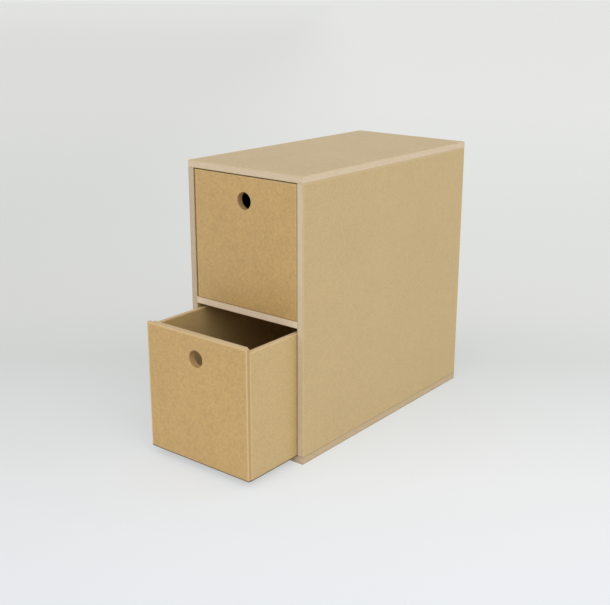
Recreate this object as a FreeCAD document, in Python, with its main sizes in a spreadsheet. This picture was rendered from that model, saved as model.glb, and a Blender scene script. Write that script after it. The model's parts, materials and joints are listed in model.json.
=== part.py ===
import FreeCAD, Part
import math
import os
from enum import IntEnum

import Sketcher

# A chest of two stacked drawers for disc cases, in raw medium-density fibreboard. Millimetres.
#
# +X runs to the right across the front, +Y from the front to the back and +Z up. The origin is the
# centre of the carcass's footprint, on the floor. The upper drawer is shut. The lower one is pulled
# out by lower_pull. Both sit a little to the right of the middle, within their play.
#
# The carcass is five boards: the top and bottom boards lie over and under the two sides, and a fixed
# shelf parts the two bays. Glued dowels hold them. A thin back is let into rebates in the sides and
# nailed with brads. Each drawer stands on the board below it and stops against the back. Its front
# is rebated at both ends, so that a lip covers the ends of the thinner sides, and its bottom sits in
# grooves all round.

SIZES = {
    # Carcass
    "carcass_width": 188.0,
    "carcass_depth": 375.0,
    "bay_height": 171.0,
    "board_thickness": 9.0,
    "panel_thickness": 3.0,
    "back_rebate_width": 5.0,
    "back_panel_gap": 0.25,
    # Drawer boxes
    "drawer_side_gap": 1.5,
    "drawer_shift": 0.8,
    "drawer_top_gap": 1.5,
    "front_lift": 0.5,
    "side_drop": 4.5,
    "front_thickness": 9.0,
    "front_lip": 5.0,
    "drawer_board_thickness": 6.0,
    "housing_depth": 3.0,
    "groove_height": 6.0,
    "groove_play": 0.2,
    "lower_pull": 91.0,
    # Finger hole
    "finger_hole_diameter": 22.0,
    "finger_hole_drop": 30.8,
    "finger_hole_round": 0.6,
    "finger_hole_inner_ease": 0.4,
    # Dowels
    "dowel_diameter": 5.0,
    "dowel_length": 20.0,
    "dowel_in_face": 6.0,
    "dowel_inset": 35.0,
    "dowel_count": 3,
    "glue_gap": 0.05,
    "hole_end_gap": 0.5,
    # T-headed brads
    "brad_width": 1.2,
    "brad_shank": 1.0,
    "brad_length": 18.0,
    "brad_head_length": 2.4,
    "brad_head_thickness": 0.6,
    "side_brad_inset": 20.0,
    "side_brad_count": 6,
    "shelf_brad_inset": 35.0,
    "shelf_brad_count": 3,
    # Eased edges
    "arris": 0.5,
    "joint_easing": 0.25,
}

doc = FreeCAD.newDocument("disc_chest")
sheet = doc.addObject("Spreadsheet::Sheet", "Sizes")
for row_number, (alias, value) in enumerate(SIZES.items(), start=1):
    sheet.set(f"A{row_number}", alias)
    sheet.set(f"B{row_number}", str(value))
    sheet.setAlias(f"B{row_number}", alias)
doc.recompute()

# Lengths that follow from the driving sizes, as expressions on the sheet.

WIDTH = "Sizes.carcass_width"
DEPTH = "Sizes.carcass_depth"
BAY_HEIGHT = "Sizes.bay_height"
BOARD = "Sizes.board_thickness"
PANEL = "Sizes.panel_thickness"
SIDE_HEIGHT = f"(2 * {BAY_HEIGHT} + {BOARD})"
BAY_WIDTH = f"({WIDTH} - 2 * {BOARD})"
BAY_DEPTH = f"({DEPTH} - {PANEL})"
CARCASS_LEFT = f"(-{WIDTH} / 2)"
CARCASS_FRONT = f"(-{DEPTH} / 2)"
BAY_LEFT = f"({CARCASS_LEFT} + {BOARD})"
BAY_RIGHT = f"({BAY_LEFT} + {BAY_WIDTH})"
LOWER_FLOOR = BOARD
SHELF_LOW = f"({LOWER_FLOOR} + {BAY_HEIGHT})"
UPPER_FLOOR = f"({SHELF_LOW} + {BOARD})"
TOP_LOW = f"({UPPER_FLOOR} + {BAY_HEIGHT})"

REBATE = "Sizes.back_rebate_width"
BACK_GAP = "Sizes.back_panel_gap"
BACK_WIDTH = f"({BAY_WIDTH} + 2 * {REBATE} - 2 * {BACK_GAP})"
BACK_HEIGHT = f"({SIDE_HEIGHT} - 2 * {BACK_GAP})"
BACK_FRONT = f"({CARCASS_FRONT} + {BAY_DEPTH})"
REBATE_FACE = f"(-{BAY_DEPTH})"

FRONT = "Sizes.front_thickness"
LIP = "Sizes.front_lip"
LIFT = "Sizes.front_lift"
DRAWER_BOARD = "Sizes.drawer_board_thickness"
HOUSING = "Sizes.housing_depth"
PLAY = "Sizes.groove_play"
GROOVE_LOW = "Sizes.groove_height"
GROOVE_WIDTH = f"({PANEL} + {PLAY})"
DRAWER_WIDTH = f"({BAY_WIDTH} - 2 * Sizes.drawer_side_gap)"
DRAWER_LEFT = f"({BAY_LEFT} + Sizes.drawer_side_gap + Sizes.drawer_shift)"
FRONT_HEIGHT = f"({BAY_HEIGHT} - Sizes.drawer_top_gap - {LIFT})"
FRONT_REBATE = f"({FRONT} - {LIP})"
BOX_HEIGHT = f"({FRONT_HEIGHT} + {LIFT} - Sizes.side_drop)"
BOX_LENGTH = f"({BAY_DEPTH} - {LIP})"
BOX_BACK_WIDTH = f"({DRAWER_WIDTH} - 2 * ({DRAWER_BOARD} - {HOUSING}))"
BOX_BACK_FRONT = f"({BAY_DEPTH} - {DRAWER_BOARD})"
BOTTOM_WIDTH = f"({BOX_BACK_WIDTH} - 2 * {PLAY})"
BOTTOM_LENGTH = f"({BOX_BACK_FRONT} + {HOUSING} - {LIP} - 2 * {PLAY})"

GLUE_GAP = "Sizes.glue_gap"
HOLE_END_GAP = "Sizes.hole_end_gap"
DOWEL_HOLE = f"(Sizes.dowel_diameter + 2 * {GLUE_GAP})"
DOWEL_LENGTH = "Sizes.dowel_length"
DOWEL_IN_FACE = "Sizes.dowel_in_face"
DOWEL_IN_EDGE = f"({DOWEL_LENGTH} - {DOWEL_IN_FACE})"
FACE_HOLE_DEPTH = f"({DOWEL_IN_FACE} + {HOLE_END_GAP})"
EDGE_HOLE_DEPTH = f"({DOWEL_IN_EDGE} + {HOLE_END_GAP})"
DOWEL_INSET = "Sizes.dowel_inset"
DOWEL_ROW = ("Y_Axis", f"({DEPTH} - 2 * {DOWEL_INSET})", "Sizes.dowel_count")

BRAD_WIDTH = "Sizes.brad_width"
BRAD_SHANK = "Sizes.brad_shank"
BRAD_HEAD = "Sizes.brad_head_length"
BRAD_HEAD_THICKNESS = "Sizes.brad_head_thickness"
BRAD_LENGTH = "Sizes.brad_length"
BRAD_IN_BOARD = f"({BRAD_LENGTH} - {PANEL} + {HOLE_END_GAP})"
SIDE_BRAD_INSET = "Sizes.side_brad_inset"
SHELF_BRAD_INSET = "Sizes.shelf_brad_inset"
SIDE_BRADS = ("Z_Axis", f"({SIDE_HEIGHT} - 2 * {SIDE_BRAD_INSET})", "Sizes.side_brad_count")
SHELF_BRADS = ("X_Axis", f"({BAY_WIDTH} - 2 * {SHELF_BRAD_INSET})", "Sizes.shelf_brad_count")

ARRIS = "Sizes.arris"
EASING = "Sizes.joint_easing"

TOLERANCE = 1e-4

pieces = []


# Sketches


class Axis(IntEnum):
    """The numbers that every sketch gives its own axes. The origin is a point on the horizontal one."""

    HORIZONTAL = -1
    VERTICAL = -2


class Point(IntEnum):
    """The numbers that a sketch gives the points of a line, an axis or a circle."""

    START = 1
    END = 2
    CENTRE = 3


def origin_feature(body, role):
    """The plane or axis of this body's own origin that has the given role."""
    return next(item for item in body.Origin.OriginFeatures if item.Role == role)


def add_sketch(body, plane, offset="0"):
    """A sketch on one of the body's origin planes, moved along the plane's normal by offset."""
    sketch = body.newObject("Sketcher::SketchObject", "sketch")
    sketch.AttachmentSupport = (origin_feature(body, plane), [""])
    sketch.MapMode = "FlatFace"
    if offset != "0":
        sketch.setExpression("AttachmentOffset.Base.z", offset)
    return sketch


def bind(sketch, constraint, expression):
    """Add a dimension to the sketch and tie its value to an expression."""
    index = sketch.addConstraint(constraint)
    name = f"size_{index}"
    sketch.renameConstraint(index, name)
    sketch.setExpression(f"Constraints.{name}", expression)


def place_point(sketch, geometry, point, across, upwards):
    """Hold a point of the sketch at a distance across and upwards from the sketch's origin."""
    for kind, axis, distance in (
        ("DistanceX", Axis.VERTICAL, across),
        ("DistanceY", Axis.HORIZONTAL, upwards),
    ):
        if distance == "0":
            sketch.addConstraint(Sketcher.Constraint("PointOnObject", geometry, point, axis))
        else:
            origin = (Axis.HORIZONTAL, Point.START)
            bind(sketch, Sketcher.Constraint(kind, *origin, geometry, point, 1.0), distance)


def add_rectangle(sketch, left, low, width, height):
    """A rectangle with its lower left corner at (left, low)."""
    corners = [FreeCAD.Vector(x, y, 0) for x, y in ((1, 1), (2, 1), (2, 2), (1, 2))]
    lines = [
        sketch.addGeometry(Part.LineSegment(start, end), False)
        for start, end in zip(corners, corners[1:] + corners[:1])
    ]
    for line, following in zip(lines, lines[1:] + lines[:1]):
        sketch.addConstraint(Sketcher.Constraint("Coincident", line, Point.END, following, Point.START))
    bottom_line, right_line, top_line, left_line = lines
    for line in (bottom_line, top_line):
        sketch.addConstraint(Sketcher.Constraint("Horizontal", line))
    for line in (right_line, left_line):
        sketch.addConstraint(Sketcher.Constraint("Vertical", line))
    for kind, line, length in (("DistanceX", bottom_line, width), ("DistanceY", right_line, height)):
        bind(sketch, Sketcher.Constraint(kind, line, Point.START, line, Point.END, 1.0), length)
    place_point(sketch, bottom_line, Point.START, left, low)


def add_circle(sketch, across, upwards, diameter):
    """A circle with its centre at (across, upwards)."""
    unit_circle = Part.Circle(FreeCAD.Vector(1, 1, 0), FreeCAD.Vector(0, 0, 1), 1.0)
    circle = sketch.addGeometry(unit_circle, False)
    bind(sketch, Sketcher.Constraint("Diameter", circle, 2.0), diameter)
    place_point(sketch, circle, Point.CENTRE, across, upwards)


# Features


def add_pad(body, sketch, length, against_normal=False):
    """A pad of the sketch along its normal, or against it."""
    pad = body.newObject("PartDesign::Pad", "pad")
    pad.Profile = sketch
    pad.Reversed = against_normal
    pad.setExpression("Length", length)
    doc.recompute()
    return pad


def add_pocket(body, sketch, depth, along_normal=False):
    """A pocket of the sketch against its normal, or along it, which has to take material away."""
    before = body.Shape.Volume
    pocket = body.newObject("PartDesign::Pocket", "pocket")
    pocket.Profile = sketch
    pocket.Reversed = along_normal
    pocket.setExpression("Length", depth)
    doc.recompute()
    if body.Shape.Volume > before - TOLERANCE:
        raise RuntimeError(f"{body.Label}: a pocket cuts nothing")
    return pocket


def cut_rectangles(body, plane, offset, rectangles, depth, along_normal=False):
    """Grooves, rebates, housings or slots: rectangular pockets from a plane of the body."""
    sketch = add_sketch(body, plane, offset)
    for rectangle in rectangles:
        add_rectangle(sketch, *rectangle)
    return add_pocket(body, sketch, depth, along_normal)


def drill(body, plane, offset, centres, diameter, depth, along_normal=False):
    """Round holes of one size, drilled from a plane of the body at the given centres."""
    sketch = add_sketch(body, plane, offset)
    for across, upwards in centres:
        add_circle(sketch, across, upwards, diameter)
    return add_pocket(body, sketch, depth, along_normal)


def start_row(body, axis, span, count):
    """A linear pattern that spans a length of the body, with what it repeats still to be named."""
    row = body.newObject("PartDesign::LinearPattern", "row")
    row.Direction = (origin_feature(body, axis), [""])
    row.Mode = "Extent"
    row.setExpression("Length", span)
    row.setExpression("Occurrences", count)
    body.Tip = row
    return row


def repeat_features(body, features, axis, span, count):
    """Repeat some of the body's features in a row."""
    start_row(body, axis, span, count).Originals = features
    doc.recompute()


def repeat_body(body, axis, span, count):
    """Repeat the whole body in a row of separate solids."""
    start_row(body, axis, span, count).TransformMode = "Whole shape"
    doc.recompute()


def dress(body, kind, feature, edges, size):
    """Fillet or chamfer the named edges of the body's last feature."""
    if not edges:
        raise RuntimeError(f"{body.Label}: no edges to dress")
    dressed = body.newObject(f"PartDesign::{kind}", kind.lower())
    dressed.Base = (feature, edges)
    dressed.setExpression("Radius" if kind == "Fillet" else "Size", size)
    doc.recompute()
    return dressed


def name_edges(feature, wanted):
    """Names of the feature's edges that satisfy a test."""
    return [f"Edge{number}" for number, edge in enumerate(feature.Shape.Edges, start=1) if wanted(edge)]


def edges_in_plane(feature, axis, level):
    """Names of the feature's edges that lie in the plane at a level along an axis."""

    def lies_in_plane(edge):
        places = [getattr(vertex.Point, axis) for vertex in edge.Vertexes]
        return all(math.isclose(place, level, abs_tol=TOLERANCE) for place in places)

    return name_edges(feature, lies_in_plane)


def ease_rim(body, hole, axis, level, kind, size):
    """Fillet or chamfer the round rim of a hole that lies in the plane at a level along an axis."""
    circles = name_edges(hole, lambda edge: edge.isClosed() and isinstance(edge.Curve, Part.Circle))
    rim = [name for name in edges_in_plane(hole, axis, level) if name in circles]
    return dress(body, kind, hole, rim, size)


def middle(low, size):
    """The middle of a length that starts at low."""
    return f"({low} + {size} / 2)"


def low_end(centre, size):
    """The low end of a length with the given centre."""
    return f"({centre} - {size} / 2)"


# Boards

PLANE_ACROSS = {"X": "YZ_Plane", "Y": "XZ_Plane", "Z": "XY_Plane"}
FACES = {
    "left": ("x", "XMin"),
    "right": ("x", "XMax"),
    "front": ("y", "YMin"),
    "bottom": ("z", "ZMin"),
    "top": ("z", "ZMax"),
}


def new_piece(label, place):
    """An empty body for one piece, with its corner placed by three expressions."""
    body = doc.addObject("PartDesign::Body", label)
    body.Label = label
    for axis, expression in zip("xyz", place):
        body.setExpression(f"Placement.Base.{axis}", expression)
    pieces.append(body)
    return body


def add_board(label, place, across, width, height, thickness, joined=(), eased=ARRIS):
    """A rectangular board with its low corner at the body's origin and its edges eased.

    across is the axis through its thickness. joined names the faces that meet another board, whose
    edges are only just broken.
    """
    body = new_piece(label, place)
    outline = add_sketch(body, PLANE_ACROSS[across])
    add_rectangle(outline, "0", "0", width, height)
    pad = add_pad(body, outline, thickness, against_normal=across == "Y")
    box = pad.Shape.BoundBox
    planes = [(FACES[face][0], getattr(box, FACES[face][1])) for face in joined]
    joined_edges = {name for plane in planes for name in edges_in_plane(pad, *plane)}
    every_edge = name_edges(pad, lambda edge: True)
    last = dress(body, "Chamfer", pad, [name for name in every_edge if name not in joined_edges], eased)
    for plane in planes:
        last = dress(body, "Chamfer", last, edges_in_plane(last, *plane), EASING)
    return body


# Carcass


def add_lid(label, low, joined, inner_face, towards_normal):
    """The board over or under the sides, with a row of blind holes for dowels above each side."""
    body = add_board(label, (CARCASS_LEFT, CARCASS_FRONT, low), "Z", WIDTH, DEPTH, BOARD, [joined])
    centres = [
        (middle("0", BOARD), DOWEL_INSET),
        (low_end(WIDTH, BOARD), DOWEL_INSET),
    ]
    holes = drill(body, "XY_Plane", inner_face, centres, DOWEL_HOLE, FACE_HOLE_DEPTH, towards_normal)
    repeat_features(body, [holes], *DOWEL_ROW)


def add_side(label, left, inner_face, towards_normal, rebate_left):
    """A side board: rebated for the back, and cut for the dowels and brads that enter it."""
    place = (left, CARCASS_FRONT, LOWER_FLOOR)
    body = add_board(label, place, "X", DEPTH, SIDE_HEIGHT, BOARD, ["bottom", "top"])
    rebate = (rebate_left, BAY_DEPTH, REBATE, PANEL)
    cut_rectangles(body, "XY_Plane", "0", [rebate], SIDE_HEIGHT, along_normal=True)

    in_end = [(middle("0", BOARD), DOWEL_INSET)]
    low_hole = drill(body, "XY_Plane", "0", in_end, DOWEL_HOLE, EDGE_HOLE_DEPTH, True)
    high_hole = drill(body, "XY_Plane", SIDE_HEIGHT, in_end, DOWEL_HOLE, EDGE_HOLE_DEPTH)
    in_face = [(DOWEL_INSET, middle(BAY_HEIGHT, BOARD))]
    shelf_hole = drill(body, "YZ_Plane", inner_face, in_face, DOWEL_HOLE, FACE_HOLE_DEPTH, towards_normal)
    repeat_features(body, [low_hole, high_hole, shelf_hole], *DOWEL_ROW)

    brad_axis = (middle(rebate_left, REBATE), SIDE_BRAD_INSET)
    slot = cut_rectangles(body, "XZ_Plane", REBATE_FACE, [shank_slot(*brad_axis)], BRAD_IN_BOARD, True)
    repeat_features(body, [slot], *SIDE_BRADS)


def add_shelf():
    """The fixed shelf between the bays, cut in both ends for dowels and in its back for brads."""
    place = (BAY_LEFT, CARCASS_FRONT, SHELF_LOW)
    body = add_board("shelf", place, "Z", BAY_WIDTH, BAY_DEPTH, BOARD, ["left", "right"])
    in_end = [(DOWEL_INSET, middle("0", BOARD))]
    left_hole = drill(body, "YZ_Plane", "0", in_end, DOWEL_HOLE, EDGE_HOLE_DEPTH, True)
    right_hole = drill(body, "YZ_Plane", BAY_WIDTH, in_end, DOWEL_HOLE, EDGE_HOLE_DEPTH)
    repeat_features(body, [left_hole, right_hole], *DOWEL_ROW)

    brad_axis = (SHELF_BRAD_INSET, middle("0", BOARD))
    slot = cut_rectangles(body, "XZ_Plane", REBATE_FACE, [shank_slot(*brad_axis)], BRAD_IN_BOARD, True)
    repeat_features(body, [slot], *SHELF_BRADS)


def shank_slot(across, upwards):
    """The rectangle of the slot that a brad's shank fills."""
    return brad_slot(across, upwards, BRAD_SHANK)


def brad_slot(across, upwards, brad_height):
    """A rectangle round a brad's axis, wider and higher than the brad by the glue gap all round."""
    width = f"({BRAD_WIDTH} + 2 * {GLUE_GAP})"
    height = f"({brad_height} + 2 * {GLUE_GAP})"
    return (low_end(across, width), low_end(upwards, height), width, height)


def add_back_panel():
    """The thin back, pierced for the brads, with a seat for each brad's head."""
    left = f"({BAY_LEFT} - {REBATE} + {BACK_GAP})"
    low = f"({LOWER_FLOOR} + {BACK_GAP})"
    body = add_board(
        "back_panel", (left, BACK_FRONT, low), "Y", BACK_WIDTH, BACK_HEIGHT, PANEL, eased=EASING
    )
    side_across = f"({REBATE} / 2 - {BACK_GAP})"
    side_low = f"({SIDE_BRAD_INSET} - {BACK_GAP})"
    side_axes = [(side_across, side_low), (f"({BACK_WIDTH} - {side_across})", side_low)]
    shelf_across = f"({REBATE} - {BACK_GAP} + {SHELF_BRAD_INSET})"
    shelf_low = f"({middle(BAY_HEIGHT, BOARD)} - {BACK_GAP})"
    for axes, row in ((side_axes, SIDE_BRADS), ([(shelf_across, shelf_low)], SHELF_BRADS)):
        slots = [shank_slot(*axis) for axis in axes]
        seats = [brad_slot(*axis, BRAD_HEAD) for axis in axes]
        shank_cut = cut_rectangles(body, "XZ_Plane", "0", slots, PANEL)
        head_cut = cut_rectangles(body, "XZ_Plane", f"(-{PANEL})", seats, BRAD_HEAD_THICKNESS, True)
        repeat_features(body, [shank_cut, head_cut], *row)


def add_dowels(label, plane, left, low):
    """A row of glued dowels, front to back."""
    body = new_piece(label, (left, f"({CARCASS_FRONT} + {DOWEL_INSET})", low))
    section = add_sketch(body, plane)
    add_circle(section, "0", "0", "Sizes.dowel_diameter")
    add_pad(body, section, DOWEL_LENGTH)
    repeat_body(body, *DOWEL_ROW)


def add_brads(label, across, upwards, row):
    """A row of T-headed brads that point towards the front."""
    place = (low_end(across, BRAD_WIDTH), f"({CARCASS_FRONT} + {DEPTH} - {BRAD_LENGTH})")
    body = new_piece(label, (*place, low_end(upwards, BRAD_HEAD)))
    shank = add_sketch(body, "XZ_Plane")
    add_rectangle(shank, "0", f"(({BRAD_HEAD} - {BRAD_SHANK}) / 2)", BRAD_WIDTH, BRAD_SHANK)
    add_pad(body, shank, BRAD_LENGTH, against_normal=True)
    head = add_sketch(body, "XZ_Plane", f"({BRAD_HEAD_THICKNESS} - {BRAD_LENGTH})")
    add_rectangle(head, "0", "0", BRAD_WIDTH, BRAD_HEAD)
    add_pad(body, head, BRAD_HEAD_THICKNESS, against_normal=True)
    repeat_body(body, *row)


def add_carcass():
    """Every piece that stays still."""
    add_lid("top_board", TOP_LOW, "bottom", "0", True)
    add_lid("bottom_board", "0", "top", BOARD, False)
    add_side("left_side", CARCASS_LEFT, BOARD, False, f"({BOARD} - {REBATE})")
    add_side("right_side", BAY_RIGHT, "0", True, "0")
    add_shelf()
    add_back_panel()
    for side, board_left, shelf_dowel_left in (
        ("left", CARCASS_LEFT, f"({BAY_LEFT} - {DOWEL_IN_FACE})"),
        ("right", BAY_RIGHT, f"({BAY_RIGHT} - {DOWEL_IN_EDGE})"),
    ):
        mid_side = middle(board_left, BOARD)
        add_dowels(f"top_{side}_dowels", "XY_Plane", mid_side, f"({TOP_LOW} - {DOWEL_IN_EDGE})")
        add_dowels(f"bottom_{side}_dowels", "XY_Plane", mid_side, f"({LOWER_FLOOR} - {DOWEL_IN_FACE})")
        add_dowels(f"shelf_{side}_dowels", "YZ_Plane", shelf_dowel_left, middle(SHELF_LOW, BOARD))
    side_low = f"({LOWER_FLOOR} + {SIDE_BRAD_INSET})"
    add_brads("back_left_brads", f"({BAY_LEFT} - {REBATE} / 2)", side_low, SIDE_BRADS)
    add_brads("back_right_brads", f"({BAY_RIGHT} + {REBATE} / 2)", side_low, SIDE_BRADS)
    shelf_left = f"({BAY_LEFT} + {SHELF_BRAD_INSET})"
    add_brads("back_shelf_brads", shelf_left, middle(SHELF_LOW, BOARD), SHELF_BRADS)


# Drawers


def add_drawer_front(label, place):
    """The front: a round finger hole, a rebate at each end and a groove as deep for the bottom."""
    body = add_board(label, place, "Y", DRAWER_WIDTH, FRONT_HEIGHT, FRONT)
    centre = [(middle("0", DRAWER_WIDTH), f"({FRONT_HEIGHT} - Sizes.finger_hole_drop)")]
    hole = drill(body, "XZ_Plane", "0", centre, "Sizes.finger_hole_diameter", FRONT)
    box = hole.Shape.BoundBox
    rounded = ease_rim(body, hole, "y", box.YMin, "Fillet", "Sizes.finger_hole_round")
    ease_rim(body, rounded, "y", box.YMax, "Chamfer", "Sizes.finger_hole_inner_ease")

    inner_face = f"(-{FRONT})"
    right_rebate_left = f"({DRAWER_WIDTH} - {DRAWER_BOARD})"
    rebates = [(left, "0", DRAWER_BOARD, FRONT_HEIGHT) for left in ("0", right_rebate_left)]
    groove = ("0", f"({GROOVE_LOW} - {LIFT})", DRAWER_WIDTH, GROOVE_WIDTH)
    cut_rectangles(body, "XZ_Plane", inner_face, rebates, FRONT_REBATE, along_normal=True)
    cut_rectangles(body, "XZ_Plane", inner_face, [groove], FRONT_REBATE, along_normal=True)


def add_drawer_side(label, left, place, inner_face, towards_normal):
    """A side: grooved for the bottom, and housed at its back end for the back."""
    body = add_board(label, (left, *place), "X", BOX_LENGTH, BOX_HEIGHT, DRAWER_BOARD, ["front"])
    housing = (f"({BOX_LENGTH} - {DRAWER_BOARD})", "0", DRAWER_BOARD, BOX_HEIGHT)
    groove = ("0", GROOVE_LOW, BOX_LENGTH, GROOVE_WIDTH)
    for rectangle in (housing, groove):
        cut_rectangles(body, "YZ_Plane", inner_face, [rectangle], HOUSING, towards_normal)


def add_drawer_back(label, place):
    """The back, as high as the sides, grooved for the bottom."""
    body = add_board(label, place, "Y", BOX_BACK_WIDTH, BOX_HEIGHT, DRAWER_BOARD, ["left", "right"])
    groove = ("0", GROOVE_LOW, BOX_BACK_WIDTH, GROOVE_WIDTH)
    cut_rectangles(body, "XZ_Plane", "0", [groove], HOUSING)


def add_drawer(prefix, floor, pull):
    """One drawer that stands on floor, pulled out towards the front."""
    front = f"({CARCASS_FRONT} - {pull})"
    box_front = f"({front} + {LIP})"
    housing_left = f"({DRAWER_LEFT} + {DRAWER_BOARD} - {HOUSING})"
    right_side_left = f"({DRAWER_LEFT} + {DRAWER_WIDTH} - {DRAWER_BOARD})"
    add_drawer_front(f"{prefix}_drawer_front", (DRAWER_LEFT, front, f"({floor} + {LIFT})"))
    add_drawer_side(f"{prefix}_drawer_left_side", DRAWER_LEFT, (box_front, floor), DRAWER_BOARD, False)
    add_drawer_side(f"{prefix}_drawer_right_side", right_side_left, (box_front, floor), "0", True)
    add_drawer_back(f"{prefix}_drawer_back", (housing_left, f"({front} + {BOX_BACK_FRONT})", floor))
    bottom_place = (f"({housing_left} + {PLAY})", f"({box_front} + {PLAY})", f"({floor} + {GROOVE_LOW})")
    add_board(
        f"{prefix}_drawer_bottom", bottom_place, "Z", BOTTOM_WIDTH, BOTTOM_LENGTH, PANEL, eased=EASING
    )


# Build, test and write


def check_document():
    """Stop if any object failed, or if any piece has no valid shape."""
    failed = [item.Label for item in doc.Objects if {"Invalid", "Error"} & set(item.State)]
    unsound = [body.Label for body in pieces if body.Shape.isNull() or not body.Shape.isValid()]
    if failed or unsound:
        raise RuntimeError(f"failed objects: {failed}; pieces with no valid shape: {unsound}")


def main():
    """Build the chest and write one STEP file for each piece."""
    add_carcass()
    add_drawer("upper", UPPER_FLOOR, "0")
    add_drawer("lower", LOWER_FLOOR, "Sizes.lower_pull")
    doc.recompute()
    check_document()
    os.makedirs("parts", exist_ok=True)
    for body in pieces:
        body.Shape.exportStep(os.path.join("parts", f"{body.Label}.step"))
        print(f"{body.Label}: {len(body.Shape.Solids)} solid(s), {body.Shape.Volume:.1f} mm3")


main()
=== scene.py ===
import json
import logging
import math
from abc import ABC, abstractmethod
from collections.abc import Iterable, Iterator
from dataclasses import dataclass, field, replace
from enum import Enum
from functools import cache, cached_property

import bmesh
import bpy
from mathutils import Color, Matrix, Vector

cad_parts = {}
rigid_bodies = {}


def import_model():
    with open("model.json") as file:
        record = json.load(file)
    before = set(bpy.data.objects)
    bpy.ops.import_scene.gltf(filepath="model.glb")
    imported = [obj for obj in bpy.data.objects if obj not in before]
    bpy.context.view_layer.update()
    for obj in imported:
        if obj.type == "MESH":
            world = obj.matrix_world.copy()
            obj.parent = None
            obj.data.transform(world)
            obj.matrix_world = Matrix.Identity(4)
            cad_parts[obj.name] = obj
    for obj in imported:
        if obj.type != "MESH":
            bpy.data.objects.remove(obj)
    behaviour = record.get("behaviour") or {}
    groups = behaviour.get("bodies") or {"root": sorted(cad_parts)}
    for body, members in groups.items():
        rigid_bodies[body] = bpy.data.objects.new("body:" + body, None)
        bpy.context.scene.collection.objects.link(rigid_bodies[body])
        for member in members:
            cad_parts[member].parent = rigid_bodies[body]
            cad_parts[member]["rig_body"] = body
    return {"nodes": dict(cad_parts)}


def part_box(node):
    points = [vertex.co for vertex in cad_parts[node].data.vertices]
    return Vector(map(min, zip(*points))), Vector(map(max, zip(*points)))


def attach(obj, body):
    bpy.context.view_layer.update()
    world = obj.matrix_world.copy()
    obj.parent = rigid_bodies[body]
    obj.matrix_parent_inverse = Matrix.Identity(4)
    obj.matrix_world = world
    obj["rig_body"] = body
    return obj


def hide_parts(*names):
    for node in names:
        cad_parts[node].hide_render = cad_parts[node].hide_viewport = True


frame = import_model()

# A chest of two drawers for disc cases, in raw medium-density fibreboard, dressed round its frame.
#
# Metres, in the frame's own axes: +X to the right across the front, +Y from the front to the back and
# +Z up. Every board is modelled afresh from the box of its node: it is sawn to size, its arrises are
# rounded, and then it is cut for whatever its neighbours let into it, so that each rebate, groove,
# housing and hole follows the piece that it holds.

LOG = logging.getLogger("chest")

MILLIMETRE = 0.001
OVERRUN = 2 * MILLIMETRE  # how far a cutter runs out past a face that it opens
REACH = 0.5 * MILLIMETRE  # a neighbour this near to a face reaches it
SAME_PLACE = 0.01 * MILLIMETRE

FULL_CHANNEL = 255  # the highest level of a display colour's channel

Colour = tuple[float, float, float, float]


def paint(red: int, green: int, blue: int) -> Colour:
    """A display colour, each channel from 0 to 255, as the scene-linear colour that a shader takes."""
    display = Color([channel / FULL_CHANNEL for channel in (red, green, blue)])
    return (*display.from_srgb_to_scene_linear(), 1.0)


# Space


class Axis(Enum):
    """An axis of the frame, by its place in a vector."""

    X = 0
    Y = 1
    Z = 2

    @property
    def unit(self) -> Vector:
        """The unit vector along the axis."""
        return Vector([1.0 if place == self.value else 0.0 for place in range(3)])


@dataclass(frozen=True)
class Block:
    """A box of space with its edges along the axes.

    Attributes:
        low: Its corner with the lowest coordinates.
        high: Its corner with the highest coordinates.
    """

    low: Vector
    high: Vector

    @classmethod
    def of_node(cls, node: str) -> "Block":
        """The box of a node of the frame."""
        return cls(*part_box(node))

    @property
    def size(self) -> Vector:
        """The lengths of its edges."""
        return self.high - self.low

    @property
    def centre(self) -> Vector:
        """Its middle point."""
        return (self.low + self.high) / 2

    @property
    def long_axis(self) -> Axis:
        """The axis that it is longest along."""
        return max(Axis, key=lambda axis: self.size[axis.value])

    def spanning(self, axis: Axis, low: float, high: float) -> "Block":
        """The block with its extent along one axis replaced.

        Args:
            axis: The axis whose extent changes.
            low: The new low end.
            high: The new high end.

        Returns:
            The changed block.
        """
        low_corner, high_corner = self.low.copy(), self.high.copy()
        low_corner[axis.value] = low
        high_corner[axis.value] = high
        return Block(low_corner, high_corner)

    def meets(self, other: "Block") -> bool:
        """Whether the two blocks share some space."""
        low, high = self.low, self.high
        return all(low[place] < other.high[place] and other.low[place] < high[place] for place in range(3))

    def room_for(self, piece: "Block", clearance: Vector = Vector()) -> "Block":
        """The space that a neighbour takes out of this block.

        Args:
            piece: The neighbour's box.
            clearance: The play left round the neighbour, along each axis.

        Returns:
            The neighbour's box with its play, run out past each face of this block that it reaches.
        """
        low, high = piece.low - clearance, piece.high + clearance
        for place in range(3):
            if low[place] <= self.low[place] + REACH:
                low[place] = self.low[place] - OVERRUN
            if high[place] >= self.high[place] - REACH:
                high[place] = self.high[place] + OVERRUN
        return Block(low, high)


@dataclass(frozen=True)
class Placing:
    """Where a finish lies on one piece.

    Attributes:
        block: The piece's box.
        across: The axis through a board's thickness, or along a row of dowels or brads.
        seed: A number that gives the piece a stretch of pattern of its own.
        along: The axis that a board's ends face along.
        bore_centre: The middle of a hole bored right through along Y, if it has one.
        bore_radius: The radius of that hole.
    """

    block: Block
    across: Axis
    seed: int
    along: Axis = Axis.X
    bore_centre: Vector | None = None
    bore_radius: float = 0.0


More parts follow.
